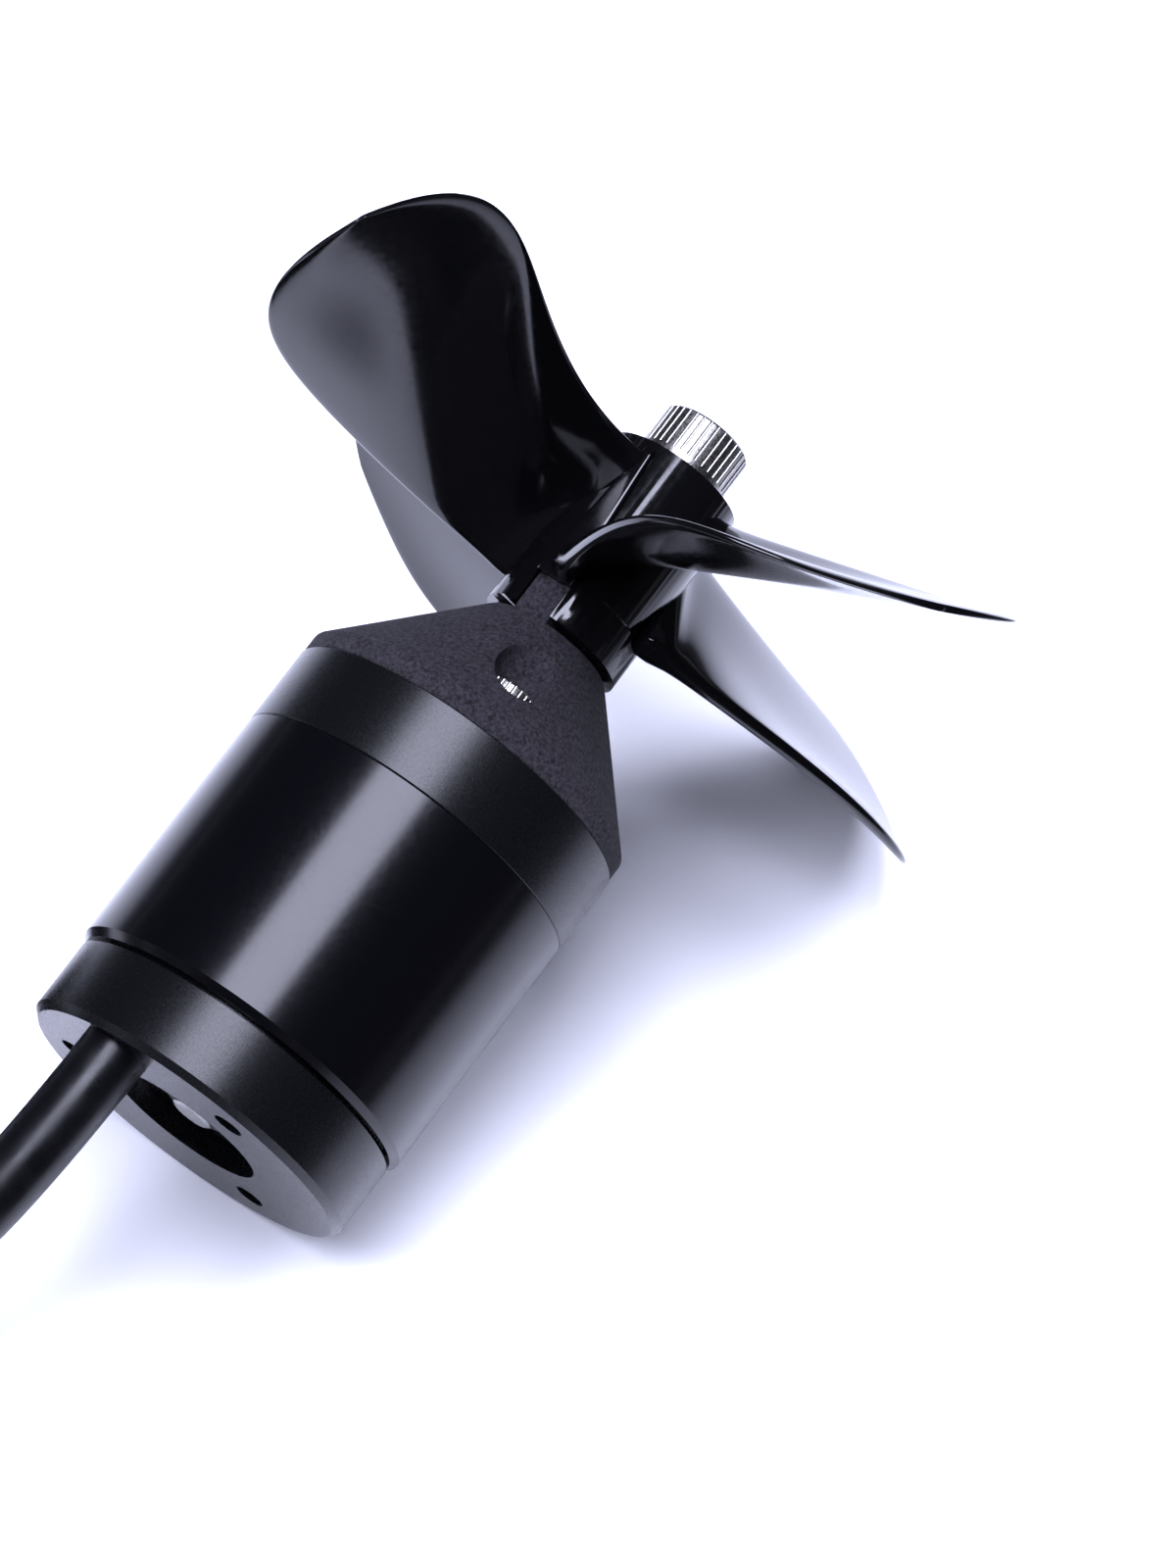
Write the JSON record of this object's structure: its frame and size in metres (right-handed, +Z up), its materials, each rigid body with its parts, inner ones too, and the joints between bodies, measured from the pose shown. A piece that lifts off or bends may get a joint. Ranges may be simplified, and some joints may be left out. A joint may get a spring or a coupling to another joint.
{
  "type": "underwater thruster",
  "caption": "Brushless underwater thruster: round motor with a turning drum, cone and bladed propeller, on a fixed rear mount with its cable.",
  "frame": {"origin": "middle of the thruster's footprint, on the table that it lies on", "axes": "+Z up, +X the way the propeller end points along the table; the shaft lies in the XZ plane with the propeller end raised"},
  "size_m": [0.199, 0.1981, 0.1076],
  "materials": {
    "anodised_matte": "matte bead-blasted black anodised",
    "anodised_gloss": "smooth gloss black anodised",
    "potting": "cast resin",
    "lead_insulation": "smooth silicone",
    "lamination_steel": "varnished sheet edges",
    "insulator_nylon": "moulded",
    "enamelled_copper": "enamelled copper wire",
    "seal_rubber": "moulded rubber on steel",
    "cable_jacket": "glossy jacket",
    "tie_nylon": "moulded nylon",
    "heat_shrink": "shrunk sleeve",
    "gilt_brass": "gilt",
    "stainless_steel": "bright turned",
    "spring_steel": "blackened",
    "coated_magnet": "nickel plated",
    "printed_nylon": "sintered, grainy",
    "moulded_plastic": "glass-filled, gloss",
    "bearing_steel": "ground"
  },
  "bodies": {
    "stator": {"rear_mount": "anodised_matte", "cable_potting": "potting", "winding_leads": "lead_insulation", "stator_core": "lamination_steel", "rear_insulator": "insulator_nylon", "front_insulator": "insulator_nylon", "coils": "enamelled_copper", "rear_bearing_outer_race": "bearing_steel", "rear_bearing_seals": "seal_rubber", "front_bearing_outer_race": "bearing_steel", "front_bearing_seals": "seal_rubber", "cable_lead": "cable_jacket", "cable_coil": "cable_jacket", "cable_tail": "cable_jacket", "cable_tie": "tie_nylon", "split_collar": "heat_shrink", "phase_wires": "lead_insulation", "wire_sleeves": "heat_shrink", "bullet_connectors": "gilt_brass"},
    "rotor": {"shaft": "stainless_steel", "retaining_ring": "spring_steel", "shaft_spacer": "stainless_steel", "rotor_drum": "anodised_gloss", "magnets": "coated_magnet", "front_bell": "anodised_matte", "grub_screws": "spring_steel", "prop_cone": "printed_nylon", "cone_screws": "stainless_steel", "propeller": "moulded_plastic", "prop_washer": "stainless_steel", "prop_bolt": "stainless_steel", "rear_bearing_inner_race": "bearing_steel", "front_bearing_inner_race": "bearing_steel"},
    "rear_ball_set": {"rear_bearing_balls": "bearing_steel", "rear_bearing_cage": "bearing_steel"},
    "front_ball_set": {"front_bearing_balls": "bearing_steel", "front_bearing_cage": "bearing_steel"}
  },
  "joints": [
    {"name": "rotor_spin", "type": "hinge", "parent": "stator", "child": "rotor", "pos_m": [-0.01799, 0, 0.03454], "axis": [0.9573, 0, 0.2892], "continuous": true},
    {"name": "rear_bearing_roll", "type": "hinge", "parent": "stator", "child": "rear_ball_set", "pos_m": [-0.05035, 0, 0.02477], "axis": [0.9573, 0, 0.2892], "continuous": true},
    {"name": "front_bearing_roll", "type": "hinge", "parent": "stator", "child": "front_ball_set", "pos_m": [-0.0089, 0, 0.03729], "axis": [0.9573, 0, 0.2892], "continuous": true}
  ],
  "couplings": [
    {"joint": "rear_bearing_roll", "follows": "rotor_spin", "ratio": 0.36},
    {"joint": "front_bearing_roll", "follows": "rotor_spin", "ratio": 0.36}
  ]
}
